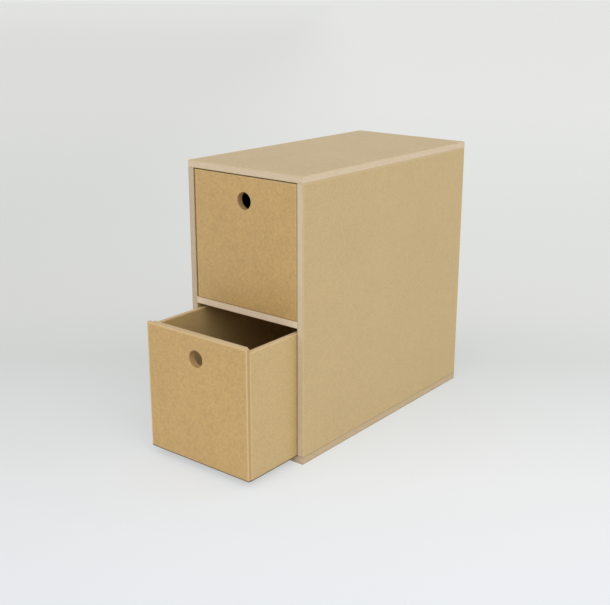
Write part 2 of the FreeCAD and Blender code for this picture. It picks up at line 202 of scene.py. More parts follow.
def solids_of(node: str) -> Iterator[Block]:
    """The boxes of the separate solids in a node of the frame.

    Args:
        node: The node's name. Its mesh is read and left as it is.

    Yields:
        One box for each solid.
    """
    copy = bmesh.new()
    copy.from_mesh(frame["nodes"][node].data)
    bmesh.ops.remove_doubles(copy, verts=copy.verts, dist=SAME_PLACE)
    waiting = set(copy.verts)
    for start in copy.verts:
        if start not in waiting:
            continue
        reached = [start]
        waiting.remove(start)
        for vertex in reached:
            for edge in vertex.link_edges:
                neighbour = edge.other_vert(vertex)
                if neighbour in waiting:
                    waiting.remove(neighbour)
                    reached.append(neighbour)
        corners = [[vertex.co[place] for vertex in reached] for place in range(3)]
        yield Block(Vector([min(level) for level in corners]), Vector([max(level) for level in corners]))
    copy.free()


# Cutters and boards


def add_block(shape: bmesh.types.BMesh, block: Block) -> None:
    """Add a block to a mesh.

    Args:
        shape: The mesh that gets the block.
        block: The block.
    """
    corners = bmesh.ops.create_cube(shape, size=1.0)["verts"]
    bmesh.ops.scale(shape, vec=block.size, verts=corners)
    bmesh.ops.translate(shape, vec=block.centre, verts=corners)


def add_rod(shape: bmesh.types.BMesh, block: Block, segments: int) -> None:
    """Add the round rod that just fits in a block, along the block's longest axis.

    Args:
        shape: The mesh that gets the rod.
        block: The block that it fits.
        segments: How many sides the rod has.
    """
    axis = block.long_axis
    radius = min(block.size) / 2
    turn = Axis.Z.unit.rotation_difference(axis.unit).to_matrix().to_4x4()
    bmesh.ops.create_cone(
        shape,
        cap_ends=True,
        segments=segments,
        radius1=radius,
        radius2=radius,
        depth=block.size[axis.value],
        matrix=Matrix.Translation(block.centre) @ turn,
    )


QUARTER_CIRCLE = 0.5  # a bevel's profile when it is round


def round_edges(
    shape: bmesh.types.BMesh, edges: list[bmesh.types.BMEdge], radius: float, segments: int
) -> None:
    """Round some edges of a mesh.

    Args:
        shape: The mesh.
        edges: The edges that get rounded.
        radius: The radius that they get.
        segments: How many faces each rounding has.
    """
    bmesh.ops.bevel(
        shape,
        geom=edges,
        offset=radius,
        offset_type="OFFSET",
        segments=segments,
        profile=QUARTER_CIRCLE,
        affect="EDGES",
        material=-1,
        clamp_overlap=True,
    )


class Face(Enum):
    """A face of a board that meets another board, by its axis and by which end of it."""

    LEFT = (Axis.X, False)
    RIGHT = (Axis.X, True)
    FRONT = (Axis.Y, False)
    BOTTOM = (Axis.Z, False)
    TOP = (Axis.Z, True)

    def level(self, block: Block) -> float:
        """Where the face of a block lies along its axis."""
        axis, is_high = self.value
        return (block.high if is_high else block.low)[axis.value]

    def holds(self, edge: bmesh.types.BMEdge, block: Block) -> bool:
        """Whether an edge lies in this face of a block."""
        place, level = self.value[0].value, self.level(block)
        return all(abs(vertex.co[place] - level) < SAME_PLACE for vertex in edge.verts)


@dataclass
class Board:
    """One board, modelled in place of its node.

    Attributes:
        node: The node that it stands for, which also gives its size and place.
        across: The axis through its thickness.
        joined: The faces that meet another board. Their edges are only just broken.
        arris: The radius of its arrises.
        easing: The radius of the edges round a joined face.
        arris_segments: How many faces the rounding of an arris has.
        easing_segments: How many faces the rounding round a joined face has.
        bore_segments: How many sides a bore has.
        hollows: Blocks that are cut out of it.
        bores: Blocks whose inscribed rods are bored out of it.
    """

    node: str
    across: Axis
    joined: tuple[Face, ...] = ()
    arris: float = 0.5 * MILLIMETRE
    easing: float = 0.25 * MILLIMETRE
    arris_segments: int = 4
    easing_segments: int = 2
    bore_segments: int = 32
    hollows: list[Block] = field(default_factory=list)
    bores: list[Block] = field(default_factory=list)

    @cached_property
    def block(self) -> Block:
        """The board's box."""
        return Block.of_node(self.node)

    def placing(self, seed: int) -> Placing:
        """Where the board's finish lies, with a seed for its pattern."""
        return Placing(self.block, self.across, seed)

    def hollow_for(self, piece: Block, clearance: Vector = Vector()) -> None:
        """Cut the board for a neighbour that is let into it, with some play along each axis."""
        self.hollows.append(self.block.room_for(piece, clearance))

    def bore_for(self, node: str, gap: float, end_gap: float) -> None:
        """Bore the board for the dowels of a node.

        Args:
            node: The node that holds the dowels.
            gap: The gap round each dowel.
            end_gap: The gap past the end of each dowel.
        """
        for dowel in solids_of(node):
            if self.block.meets(dowel):
                clearance = Vector((gap, gap, gap)) + dowel.long_axis.unit * (end_gap - gap)
                self.bores.append(self.block.room_for(dowel, clearance))

    def shape(self) -> bmesh.types.BMesh:
        """Saw the board to size and round its arrises.

        Returns:
            The board's mesh, before any cut for a neighbour.
        """
        shape = bmesh.new()
        add_block(shape, self.block)
        joined = {edge for edge in shape.edges if any(face.holds(edge, self.block) for face in self.joined)}
        open_edges = [edge for edge in shape.edges if edge not in joined]
        round_edges(shape, open_edges, self.arris, self.arris_segments)
        for face in self.joined:
            rim = [edge for edge in shape.edges if face.holds(edge, self.block)]
            round_edges(shape, rim, self.easing, self.easing_segments)
        return shape

    def cutters(self) -> Iterator[bmesh.types.BMesh]:
        """Make what the board is cut with.

        Yields:
            One mesh for each hollow, and one for all the bores.
        """
        for hollow in self.hollows:
            cutter = bmesh.new()
            add_block(cutter, hollow)
            yield cutter
        if self.bores:
            cutter = bmesh.new()
            for bore in self.bores:
                add_rod(cutter, bore, self.bore_segments)
            yield cutter

    def finish_cuts(self, shape: bmesh.types.BMesh) -> None:
        """Ease what the cutters leave. A plain board is left as cut."""

    def build(self) -> bpy.types.Object:
        """Model the board.

        Returns:
            The board's object, which replaces its node and rides on the node's body.
        """
        cad_node = frame["nodes"][self.node]
        piece = object_from(f"{self.node}_board", self.shape())
        for cutter in self.cutters():
            subtract(piece, cutter)
        shape = bmesh.new()
        shape.from_mesh(piece.data)
        bmesh.ops.remove_doubles(shape, verts=shape.verts, dist=SAME_PLACE)
        self.finish_cuts(shape)
        put_in(piece, shape)
        smooth(piece)
        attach(piece, cad_node["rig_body"])
        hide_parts(self.node)
        return piece


def object_from(name: str, shape: bmesh.types.BMesh) -> bpy.types.Object:
    """Make a new object at the origin.

    Args:
        name: The name of the object and of its mesh.
        shape: The mesh that it holds, which is used up.

    Returns:
        The object.
    """
    piece = bpy.data.objects.new(name, bpy.data.meshes.new(name))
    bpy.context.scene.collection.objects.link(piece)
    put_in(piece, shape)
    return piece


def put_in(piece: bpy.types.Object, shape: bmesh.types.BMesh) -> None:
    """Replace the mesh of an object.

    Args:
        piece: The object.
        shape: Its new mesh, which is used up.
    """
    shape.to_mesh(piece.data)
    shape.free()
    piece.data.update()


def subtract(piece: bpy.types.Object, cutter_shape: bmesh.types.BMesh) -> None:
    """Cut one mesh out of a piece.

    Args:
        piece: The piece, whose mesh is changed.
        cutter_shape: The mesh that is taken away, which is used up.
    """
    cutter = object_from("cutter", cutter_shape)
    cut = piece.modifiers.new("cut", "BOOLEAN")
    cut.operation = "DIFFERENCE"
    cut.solver = "EXACT"
    cut.object = cutter
    bpy.context.view_layer.update()
    evaluated = piece.evaluated_get(bpy.context.evaluated_depsgraph_get())
    old_mesh = piece.data
    new_mesh = bpy.data.meshes.new_from_object(evaluated)
    piece.modifiers.remove(cut)
    piece.data = new_mesh
    new_mesh.name = piece.name
    cutter_mesh = cutter.data
    bpy.data.objects.remove(cutter)
    bpy.data.meshes.remove(cutter_mesh)
    bpy.data.meshes.remove(old_mesh)


SMOOTH_UNDER = math.radians(40)  # faces that meet at a smaller angle are shaded as one
LARGEST_FACE_RULES = 100


def smooth(piece: bpy.types.Object) -> None:
    """Shade a piece's roundings smoothly and keep its flat faces flat.

    Args:
        piece: The piece.
    """
    piece.data.shade_smooth()
    piece.data.set_sharp_from_angle(angle=SMOOTH_UNDER)
    normals = piece.modifiers.new("flat_faces", "WEIGHTED_NORMAL")
    normals.mode = "FACE_AREA"
    normals.weight = LARGEST_FACE_RULES
    normals.keep_sharp = True


# Shader graphs


Feed = float | tuple | Vector | bpy.types.NodeSocket
Band = tuple[float, float]  # where a smooth step starts and ends

MIDDLE = 0.5  # the middle level of a noise or a tone
WHITE: Colour = (1.0, 1.0, 1.0, 1.0)


@dataclass(frozen=True)
class Layer:
    """A layer of cloudy noise.

    Attributes:
        scale: How many lumps it has in a metre.
        weight: How much it counts in a tone that it is added to.
        detail: How many finer layers it carries.
        distortion: How far its lumps are pulled about.
    """

    scale: float
    weight: float = 1.0
    detail: float = 2.0
    distortion: float = 0.0


class Graph:
    """A short way to build a shader tree. Unless it says otherwise, a method returns a node's output."""

    def __init__(self, tree: bpy.types.NodeTree) -> None:
        """Work on a tree."""
        self.tree = tree

    def feed(self, socket: bpy.types.NodeSocket, value: Feed) -> None:
        """Feed one input.

        Args:
            socket: The input.
            value: An output that is linked to it, or a value of its own.
        """
        if isinstance(value, bpy.types.NodeSocket):
            self.tree.links.new(value, socket)
        else:
            socket.default_value = value

    def set_up(self, node: bpy.types.Node, **values: object) -> bpy.types.Node:
        """Set a node's properties and feed its inputs.

        Args:
            node: The node.
            **values: Its properties, in small letters, and what feeds its inputs, each under the input's
                name with an underscore for a space.

        Returns:
            The same node.
        """
        for name, value in values.items():
            if name[0].isupper():
                self.feed(node.inputs[name.replace("_", " ")], value)
            else:
                setattr(node, name, value)
        return node

    def add(self, kind: str, **values: object) -> bpy.types.Node:
        """Add a node of a kind and set it up. It returns the node itself."""
        return self.set_up(self.tree.nodes.new(kind), **values)

    def in_order(self, node: bpy.types.Node, *values: Feed) -> bpy.types.Node:
        """Feed a node's inputs in their order.

        Args:
            node: The node.
            *values: What feeds its first inputs.

        Returns:
            The same node.
        """
        for socket, value in zip(node.inputs, values):
            self.feed(socket, value)
        return node

    def math(self, operation: str, *values: Feed, clamp: bool = False) -> bpy.types.NodeSocket:
        """One operation on one to three numbers."""
        node = self.add("ShaderNodeMath", operation=operation, use_clamp=clamp)
        return self.in_order(node, *values).outputs[0]

    def blend(self, share: Feed, first: Feed, second: Feed) -> bpy.types.NodeSocket:
        """A number between two others."""
        return self.math("MULTIPLY_ADD", share, self.math("SUBTRACT", second, first), first)

    def vector_math(self, operation: str, *values: Feed) -> bpy.types.NodeSocket:
        """One operation on one or two vectors that makes a vector."""
        return self.in_order(self.add("ShaderNodeVectorMath", operation=operation), *values).outputs["Vector"]

    def dot(self, first: Feed, second: Feed) -> bpy.types.NodeSocket:
        """The dot product of two vectors."""
        node = self.add("ShaderNodeVectorMath", operation="DOT_PRODUCT")
        return self.in_order(node, first, second).outputs["Value"]

    def split(self, vector: Feed) -> list[bpy.types.NodeSocket]:
        """The X, Y and Z of a vector."""
        return list(self.add("ShaderNodeSeparateXYZ", Vector=vector).outputs)

    def step(
        self, value: Feed, start: float, end: float, low: Feed = 0.0, high: Feed = 1.0
    ) -> bpy.types.NodeSocket:
        """A smooth step from low to high while the value goes from start to end."""
        node = self.add("ShaderNodeMapRange", interpolation_type="SMOOTHSTEP", clamp=True, Value=value)
        return self.set_up(node, From_Min=start, From_Max=end, To_Min=low, To_Max=high).outputs["Result"]

    def fall(self, value: Feed, start: float, end: float) -> bpy.types.NodeSocket:
        """A smooth fall from 1 to 0 while the value goes from start to end."""
        return self.step(value, start, end, 1.0, 0.0)

    def noise(self, place: Feed, layer: Layer) -> bpy.types.NodeSocket:
        """Noise over a place.

        Args:
            place: The place.
            layer: The layer of noise.

        Returns:
            The noise, from 0 to 1.
        """
        node = self.add("ShaderNodeTexNoise", normalize=True, Vector=place)
        self.set_up(node, Scale=layer.scale, Detail=layer.detail, Distortion=layer.distortion)
        return node.outputs["Fac"]

    def noises(self, place: Feed, *layers: Layer) -> dict[Layer, bpy.types.NodeSocket]:
        """Several layers of noise, each under its layer."""
        return {layer: self.noise(place, layer) for layer in layers}

    def swung(self, tone: Feed, noises: dict[Layer, bpy.types.NodeSocket]) -> Feed:
        """Swing a tone up and down.

        Args:
            tone: The tone.
            noises: What swings it, each as far as its layer weighs.

        Returns:
            The swung tone.
        """
        for layer, noise in noises.items():
            tone = self.math("MULTIPLY_ADD", self.math("SUBTRACT", noise, MIDDLE), layer.weight, tone)
        return tone

    def mix(self, share: Feed, first: Feed, second: Feed) -> bpy.types.NodeSocket:
        """Mix two colours.

        Args:
            share: How much of the second colour the mix has, from 0 to 1.
            first: The first colour.
            second: The second colour.

        Returns:
            The mixed colour.
        """
        node = self.add("ShaderNodeMix", data_type="RGBA", Factor=share)
        colours = [socket for socket in node.inputs if socket.type == "RGBA"]
        for socket, colour in zip(colours, (first, second)):
            self.feed(socket, colour)
        return next(socket for socket in node.outputs if socket.type == "RGBA")

    def show_mix(self, share: Feed, first: bpy.types.Node, second: bpy.types.Node) -> None:
        """Mix two shaders on the surface of the tree's output node.

        Args:
            share: How much of the second shader the surface shows, from 0 to 1.
            first: The first shader.
            second: The second shader.
        """
        mixed = self.in_order(self.add("ShaderNodeMixShader"), share, first.outputs[0], second.outputs[0])
        output = next(node for node in self.tree.nodes if node.type.startswith("OUTPUT"))
        self.feed(output.inputs["Surface"], mixed.outputs[0])


class Group(Graph):
    """A new shader group.

    Attributes:
        given: Its inputs, in their order.
        result: Its output sockets, which put feeds by name.
    """

    def __init__(self, name: str, inputs: dict[str, str], outputs: tuple[str, ...]) -> None:
        """Start a group.

        Args:
            name: The group's name.
            inputs: The name and kind of each input, the kind being Float or Vector.
            outputs: The name of each output. All of them are Float.
        """
        super().__init__(bpy.data.node_groups.new(name, "ShaderNodeTree"))
        new_socket = self.tree.interface.new_socket
        for label, kind in inputs.items():
            new_socket(label, in_out="INPUT", socket_type=f"NodeSocket{kind}")
        for label in outputs:
            new_socket(label, in_out="OUTPUT", socket_type="NodeSocketFloat")
        entry = self.add("NodeGroupInput")
        self.given = [entry.outputs[label] for label in inputs]
        self.result = self.add("NodeGroupOutput").inputs

    def put(self, name: str, value: Feed) -> None:
        """Feed one of the group's outputs."""
        self.feed(self.result[name], value)


# A board's section: how far each mask reaches in from the skin, the edges, the ends or the foot, and
# how far its border wanders.
CUT_DEPTH: Band = (0.1 * MILLIMETRE, 0.5 * MILLIMETRE)
RIM_DEPTH: Band = (0.3 * MILLIMETRE, 0.8 * MILLIMETRE)
RIM_WIDTH: Band = (1.4 * MILLIMETRE, 2.4 * MILLIMETRE)
END_DEPTH: Band = (0.2 * MILLIMETRE, 0.7 * MILLIMETRE)
FOOT_HEIGHT: Band = (1.6 * MILLIMETRE, 2.1 * MILLIMETRE)
WALL_BAND: Band = (0.1 * MILLIMETRE, 0.5 * MILLIMETRE)
SKIN_WANDER = 0.5 * MILLIMETRE
RIM_WANDER = 1.5 * MILLIMETRE
WANDER = Layer(700.0)

# The skin's pattern, from its widest clouds to its single fibres, and its flecks.
CLOUDS = Layer(11.0, 0.22)
PATCHES = Layer(70.0, 0.22)
MOTTLE = Layer(330.0, 0.75)
FIBRES = Layer(900.0, 0.9, detail=3.0, distortion=1.6)
FLECKS_IN_A_METRE = 330.0
WITHOUT_A_FLECK = 0.72  # the share of the skin's cells that have none
FLECK_SIZE: Band = (0.08, 0.24)  # as a share of a cell

# A cut surface's pattern, its tone in the dense layers and in the core, and its saw marks.
FUZZ = Layer(1500.0, 0.5, detail=4.0, distortion=0.8)
LUMPS = Layer(260.0, 0.45)
SHADES = Layer(25.0, 0.3)
DENSE_DEPTH: Band = (0.0, 0.45)  # as a share of half the thickness
DENSE_TONE = 0.25
CORE_TONE = 0.6
SAW_MARKS = {"Scale": 160.0, "Distortion": 3.0, "Detail": 2.0}
SAW_SHARE = 0.15  # of the relief; the fuzz makes the rest

# Straight grain, drawn out along X.
DRAW = Vector((0.08, 1.0, 1.0))
GRAIN_LINES = Layer(1800.0, detail=3.0, distortion=0.4)
GRAIN_RAYS = Layer(5200.0, 0.5, detail=1.0)


@cache
def section_group() -> bpy.types.NodeTree:
    """The group that tells where a point lies in a board: skin or cut, how deep, how near a rim.

    Returns:
        The group. It takes a place measured from the board's middle, half the board's size and the
        unit vectors across it and along it. It puts out Depth, which is 0 at the skin and 1 at
        mid-thickness; Cut, a mask of what is cut through the skin; Rim, a mask of its arrises; End, a
        mask of its two ends; and Foot, a mask of its lowest two millimetres.
    """
    group = Group(
        "board_section",
        {"Place": "Vector", "Half Size": "Vector", "Across": "Vector", "Along": "Vector"},
        ("Depth", "Cut", "Rim", "End", "Foot"),
    )
    place, half, across, along = group.given
    inside = group.vector_math("SUBTRACT", half, group.vector_math("ABSOLUTE", place))
    depth = group.dot(inside, across)
    wobble = group.math("SUBTRACT", group.noise(place, WANDER), MIDDLE)
    ragged_depth = group.math("MULTIPLY_ADD", wobble, SKIN_WANDER, depth)
    group.put("Depth", group.math("DIVIDE", depth, group.dot(half, across), clamp=True))
    group.put("Cut", group.step(ragged_depth, *CUT_DEPTH))
    group.put("End", group.fall(group.dot(inside, along), *END_DEPTH))

    in_x, in_y, in_z = group.split(group.vector_math("ADD", inside, across))
    to_edge = group.math("MINIMUM", group.math("MINIMUM", in_x, in_y), in_z)
    rim = group.fall(group.math("MULTIPLY_ADD", wobble, RIM_WANDER, to_edge), *RIM_WIDTH)
    group.put("Rim", group.math("MULTIPLY", rim, group.fall(ragged_depth, *RIM_DEPTH)))

    height = group.split(group.vector_math("ADD", place, half))[Axis.Z.value]
    ragged_height = group.math("MULTIPLY_ADD", wobble, SKIN_WANDER, height)
    group.put("Foot", group.fall(ragged_height, *FOOT_HEIGHT))
    return group.tree


@cache
def skin_group() -> bpy.types.NodeTree:
    """The group for the pressed and sanded skin of the board.

    Returns:
        The group. It takes a place on the board and a Contrast. It puts out Tone, which lies about 0.5
        and follows the clouds, the mottle and the single fibres; Fleck, a mask of dark flecks; and
        Height.
    """
    group = Group("fibreboard_skin", {"Place": "Vector", "Contrast": "Float"}, ("Tone", "Fleck", "Height"))
    place, contrast = group.given
    noises = group.noises(place, CLOUDS, PATCHES, MOTTLE, FIBRES)
    group.put("Tone", group.math("MULTIPLY_ADD", group.swung(0.0, noises), contrast, MIDDLE))
    group.put("Height", group.blend(MIDDLE, noises[FIBRES], noises[MOTTLE]))

    cells = group.add("ShaderNodeTexVoronoi", feature="F1", Vector=place, Scale=FLECKS_IN_A_METRE)
    chance = group.add("ShaderNodeSeparateColor", Color=cells.outputs["Color"]).outputs[0]
    chosen = group.math("GREATER_THAN", chance, WITHOUT_A_FLECK)
    dot = group.fall(cells.outputs["Distance"], *FLECK_SIZE)
    group.put("Fleck", group.math("MULTIPLY", chosen, dot))
    return group.tree


@cache
def cut_group() -> bpy.types.NodeTree:
    """The group for sawn and routed surfaces of the board, where the fibres stand up.

    Returns:
        The group. It takes a place on the board and the Depth of the section group. It puts out Tone,
        which is low in the dense layers under the skin, and Height.
    """
    group = Group("fibreboard_cut", {"Place": "Vector", "Depth": "Float"}, ("Tone", "Height"))
    place, depth = group.given
    noises = group.noises(place, FUZZ, LUMPS, SHADES)
    group.put("Tone", group.swung(group.step(depth, *DENSE_DEPTH, DENSE_TONE, CORE_TONE), noises))
    saw = group.add("ShaderNodeTexWave", wave_type="BANDS", bands_direction="DIAGONAL", Vector=place)
    group.set_up(saw, **SAW_MARKS)
    group.put("Height", group.blend(SAW_SHARE, noises[FUZZ], saw.outputs["Fac"]))
    return group.tree


@cache
def bore_group() -> bpy.types.NodeTree:
    """The group for the wall of a hole bored along Y, which is darkened by the cutter's burnish and by
    painted shade.

    Returns:
        The group. It takes a place and the hole's radius, measured from the middle of the hole's length.
        It puts out Wall, a mask of the hole's wall, and Along, the place along the hole in metres.
    """
    group = Group("bored_wall", {"Place": "Vector", "Radius": "Float"}, ("Wall", "Along"))
    place, radius = group.given
    flat = group.vector_math("MULTIPLY", place, Axis.X.unit + Axis.Z.unit)
    from_middle = group.math("SQRT", group.dot(flat, flat))
    group.put("Wall", group.fall(group.math("SUBTRACT", from_middle, radius), *WALL_BAND))
    group.put("Along", group.split(place)[Axis.Y.value])
    return group.tree


@cache
def grain_group() -> bpy.types.NodeTree:
    """The group for straight grain, as on turned beech and on drawn wire.

    Returns:
        The group. It takes a place measured with the grain along X. It puts out Tone and Height.
    """
    group = Group("straight_grain", {"Place": "Vector"}, ("Tone", "Height"))
    drawn_out = group.vector_math("MULTIPLY", group.given[0], DRAW)
    lines = group.noise(drawn_out, GRAIN_LINES)
    group.put("Tone", group.swung(lines, group.noises(drawn_out, GRAIN_RAYS)))
    group.put("Height", lines)
    return group.tree


# Finishes


class Coat(Graph):
    """A new material.

    Attributes:
        material: The material itself.
        shader: Its Principled shader.
    """

    def __init__(self, name: str) -> None:
        """Start a material under a name."""
        self.material = bpy.data.materials.new(name)
        self.material.use_nodes = True
        super().__init__(self.material.node_tree)
        self.shader = self.tree.nodes["Principled BSDF"]

    def place(self, location: Vector, rotation: Vector = Vector()) -> bpy.types.NodeSocket:
        """Read the place on the object through a Mapping node.

        Args:
            location: How far the place is moved.
            rotation: How far it is turned.

        Returns:
            The moved and turned place.
        """
        here = self.add("ShaderNodeTexCoord").outputs["Object"]
        node = self.add("ShaderNodeMapping", vector_type="POINT", Vector=here)
        return self.set_up(node, Location=location, Rotation=rotation).outputs["Vector"]

    def use(self, group: bpy.types.NodeTree, **fed: Feed) -> bpy.types.bpy_prop_collection:
        """Place a shader group and feed its inputs. It returns all the group's outputs."""
        return self.add("ShaderNodeGroup", node_tree=group, **fed).outputs

    def roughen(self, height: Feed, relief: float) -> None:
        """Bump the surface by a height from 0 to 1, over a relief of so many metres."""
        bump = self.add("ShaderNodeBump", Strength=1.0, Distance=relief, Height=height)
        self.set_up(self.shader, Normal=bump.outputs["Normal"])


SEED_STEP = Vector((0.731, 0.377, 0.519))  # metres from one piece's stretch of pattern to the next


@dataclass(frozen=True)
class Fibreboard:
    """Raw medium-density fibreboard: a hard, sanded skin over a paler core that fuzzes where it is cut.

    Attributes:
        slot: The record's material slot.
        skin: The skin's colour.
        skin_shade: The colour that its darker fibres tend to.
        fleck: The colour of its dark flecks.
        rim: The colour of arrises sanded through the skin, which on the drawer fronts is also a painted
            highlight.
        cut: The colour of a cut surface.
        cut_shade: The colour of the dense layers in a cut surface.
        sanding_and_highlight: How far the rim colour shows on the arrises, from 0 to 1: sanding, and painted
            highlight.
        end_darkening: How much darker its ends are, from 0 to 1.
        foot_darkening: How far its foot is darkened, from 0 to 1; on the drawers and the bottom board,
            painted shade.
        contrast: How strongly the skin is mottled.
        flecking: How strongly the flecks show, from 0 to 1.
        gloss: The shader's specular level.
        skin_roughness: How rough the skin is.
        cut_roughness: How rough a cut surface is.
        relief: How deep the relief of a cut surface is.
        skin_relief: The share of that relief that the skin has.
        foot_dark_colour: The colour that a foot is darkened to.
        burnish_and_shade: The colour that the wall of a hole is darkened to: the cutter's burnish and painted
            shade.
        wall_darkening: How far the wall takes that colour, from 0 to 1.
        far_wall: The lighter colour of the wall by the far rim.
        far_wall_from: Where the wall begins to turn lighter, as a share of the way from its middle.
    """

    slot: str
    skin: Colour
    skin_shade: Colour
    fleck: Colour
    rim: Colour
    cut: Colour
    cut_shade: Colour
    sanding_and_highlight: float = 0.4
    end_darkening: float = 0.0
    foot_darkening: float = 0.0
    contrast: float = 1.4
    flecking: float = 0.35
    gloss: float = 0.72
    skin_roughness: float = 0.46
    cut_roughness: float = 0.85
    relief: float = 0.12 * MILLIMETRE
    skin_relief: float = 0.25
    foot_dark_colour: Colour = paint(88, 68, 42)
    burnish_and_shade: Colour = paint(180, 141, 88)
    wall_darkening: float = 0.95
    far_wall: Colour = paint(196, 168, 134)
    far_wall_from: float = 0.2

    def fill(self, coat: Coat, placing: Placing) -> None:
        """Fill the material of one board.

        Args:
            coat: The material.
            placing: Where the finish lies.
        """
        block = placing.block
        section = coat.use(
            section_group(),
            Place=coat.place(-block.centre),
            Half_Size=block.size / 2,
            Across=placing.across.unit,
            Along=placing.along.unit,
        )
        own_stretch = coat.place(SEED_STEP * placing.seed - block.centre)
        skin = coat.use(skin_group(), Place=own_stretch, Contrast=self.contrast)
        cut = coat.use(cut_group(), Place=own_stretch, Depth=section["Depth"])

        skin_colour = coat.mix(skin["Tone"], self.skin_shade, self.skin)
        skin_colour = coat.mix(coat.math("MULTIPLY", skin["Fleck"], self.flecking), skin_colour, self.fleck)
        # Darker ends; on the bottom board this is painted shade near the floor.
        cut_tone = coat.math("MULTIPLY_ADD", section["End"], -self.end_darkening, cut["Tone"])
        cut_colour = coat.mix(cut_tone, self.cut_shade, self.cut)
        if placing.bore_centre is not None:
            cut_colour = self.darkened_wall(coat, placing, cut_colour)
        colour = coat.mix(section["Cut"], skin_colour, cut_colour)
        # The arrises take the rim colour, sanding with a painted highlight on the fronts; the foot takes a
        # darker colour, painted shade on the drawers and the bottom board.
        for mask, share, edge_colour in (("Rim", self.sanding_and_highlight, self.rim), ("Foot", self.foot_darkening, self.foot_dark_colour)):
            colour = coat.mix(coat.math("MULTIPLY", section[mask], share), colour, edge_colour)
        roughness = coat.step(section["Cut"], 0.0, 1.0, self.skin_roughness, self.cut_roughness)
        coat.set_up(coat.shader, Base_Color=colour, Roughness=roughness, Specular_IOR_Level=self.gloss)
        skin_height = coat.math("MULTIPLY", skin["Height"], self.skin_relief)
        coat.roughen(coat.blend(section["Cut"], skin_height, cut["Height"]), self.relief)

    def darkened_wall(self, coat: Coat, placing: Placing, colour: Feed) -> bpy.types.NodeSocket:
        """A cut surface's colour with the wall of the bored hole darkened, partly burnish and partly painted
        shade.

        Args:
            coat: The material.
            placing: Where the finish lies.
            colour: The cut surface's colour.

        Returns:
            The new colour.
        """
        bore = coat.use(bore_group(), Place=coat.place(-placing.bore_centre), Radius=placing.bore_radius)
        half = placing.block.size.y / 2
        towards_far_rim = coat.step(bore["Along"], half * self.far_wall_from, half)
        wall = coat.mix(towards_far_rim, self.burnish_and_shade, self.far_wall)
        return coat.mix(coat.math("MULTIPLY", bore["Wall"], self.wall_darkening), colour, wall)


@dataclass(frozen=True)
class Grained(ABC):
    """A finish with a straight grain that runs along the axis that placing gives.

    Attributes:
        slot: The record's material slot.
        light: The colour between the lines of the grain.
        dark: The colour of the lines.
        relief: How deep they are.
    """

    slot: str
    light: Colour
    dark: Colour
    relief: float

    def fill(self, coat: Coat, placing: Placing) -> None:
        """Fill the material of a row of dowels or brads.

        Args:
            coat: The material.
            placing: Where the finish lies.
        """
        turn = placing.across.unit.rotation_difference(Axis.X.unit).to_euler()
        grain = coat.use(grain_group(), Place=coat.place(SEED_STEP * placing.seed, Vector(turn)))
        coat.set_up(coat.shader, Base_Color=coat.mix(grain["Tone"], self.dark, self.light))
        coat.roughen(grain["Height"], self.relief)
        self.polish(coat, grain["Tone"])

    @abstractmethod
    def polish(self, coat: Coat, tone: Feed) -> None:
        """Set how the surface shines, by the tone of its grain."""


@dataclass(frozen=True)
class Beech(Grained):
    """Turned beech, for the dowels.

    Attributes:
        relief: How deep the lines of its grain are.
        roughness: How rough it is.
    """

    relief: float = 0.05 * MILLIMETRE
    roughness: float = 0.6

    def polish(self, coat: Coat, tone: Feed) -> None:
        """Make it evenly dull."""
        coat.set_up(coat.shader, Roughness=self.roughness)


@dataclass(frozen=True)
class BrightSteel(Grained):
    """Drawn steel wire with a thin zinc coat, for the brads.

    Attributes:
        relief: How deep the marks of drawing are.
        drawn: Between which tones of its grain the roughness rises.
        roughness: How rough it is at those tones.
    """

    relief: float = 0.01 * MILLIMETRE
    drawn: Band = (0.3, 0.7)
    roughness: tuple[float, float] = (0.28, 0.5)

    def polish(self, coat: Coat, tone: Feed) -> None:
        """Make it metal, and rougher where its grain is light."""
        roughness = coat.step(tone, *self.drawn, *self.roughness)
        coat.set_up(coat.shader, Roughness=roughness, Metallic=1.0)


# Even among boards of one stock, the saw cuts and the sanding differ a little. Some finishes below also carry
# painted light and shade, as their comments say.
CARCASS_BOARD = Fibreboard(
    slot="carcass_board",
    skin=paint(203, 175, 121),
    skin_shade=paint(178, 152, 106),
    fleck=paint(122, 92, 56),
    rim=paint(206, 182, 138),
    cut=paint(217, 199, 171),
    cut_shade=paint(196, 171, 137),
)
TOP_BOARD = replace(CARCASS_BOARD, skin=paint(203, 177, 127), skin_shade=paint(178, 153, 111))
LEFT_BOARD = replace(CARCASS_BOARD, cut=paint(198, 181, 159), cut_shade=paint(178, 154, 125))
# The right side's foot is darker, a line along its joint with the bottom board.
RIGHT_BOARD = replace(CARCASS_BOARD, cut=paint(214, 198, 170), cut_shade=paint(193, 170, 136), foot_darkening=0.32)
SIDE_BOARDS = {"left": LEFT_BOARD, "right": RIGHT_BOARD}
# The bottom board's cut edges are darker, most at its ends and foot: painted shade near the floor.
BOTTOM_BOARD = replace(CARCASS_BOARD, cut_shade=paint(184, 161, 126), end_darkening=0.45, foot_darkening=0.15)
# The shelf's cut edge is painted lighter: painted light, for the light that bounces up to it from below.
SHELF_BOARD = replace(CARCASS_BOARD, cut=paint(230, 212, 186), cut_shade=paint(209, 185, 152))
